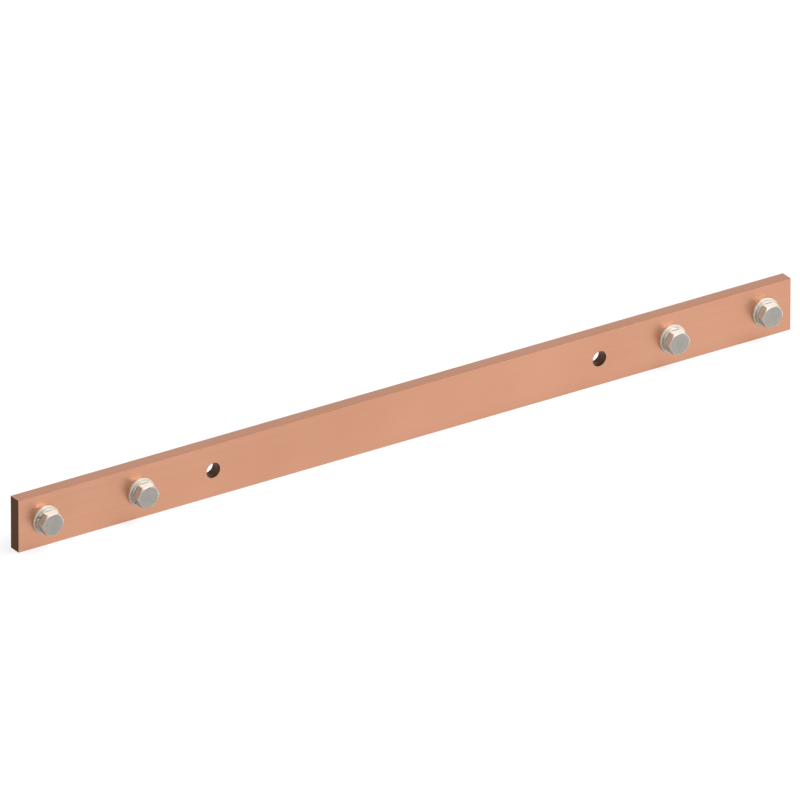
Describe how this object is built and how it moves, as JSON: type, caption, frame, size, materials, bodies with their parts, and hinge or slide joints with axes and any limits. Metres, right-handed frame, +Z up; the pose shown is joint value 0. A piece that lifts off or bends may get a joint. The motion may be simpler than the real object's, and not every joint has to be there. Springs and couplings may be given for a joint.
{
  "type": "copper busbar",
  "caption": "Flat copper busbar standing on its long edge, with open fixing holes, and hexagon terminal bolts with washers and nuts near both ends.",
  "frame": {"origin": "midway between the two open holes, on the back face of the bar", "axes": "+X along the bar, +Y from the bolt heads to the nuts, +Z up"},
  "size_m": [0.64, 0.0364, 0.04],
  "materials": {
    "copper": "drawn bright copper, satin",
    "plated_steel": "zinc plated, clear passivated",
    "spring_steel": "zinc plated spring steel, slightly darker"
  },
  "bodies": {
    "root": {"busbar": "copper", "hex_bolt_1": "plated_steel", "lock_washer_1": "spring_steel", "front_washer_1": "plated_steel", "back_washer_1": "plated_steel", "hex_nut_1": "plated_steel", "hex_bolt_2": "plated_steel", "lock_washer_2": "spring_steel", "front_washer_2": "plated_steel", "back_washer_2": "plated_steel", "hex_nut_2": "plated_steel", "hex_bolt_3": "plated_steel", "lock_washer_3": "spring_steel", "front_washer_3": "plated_steel", "back_washer_3": "plated_steel", "hex_nut_3": "plated_steel", "hex_bolt_4": "plated_steel", "lock_washer_4": "spring_steel", "front_washer_4": "plated_steel", "back_washer_4": "plated_steel", "hex_nut_4": "plated_steel"}
  },
  "joints": []
}
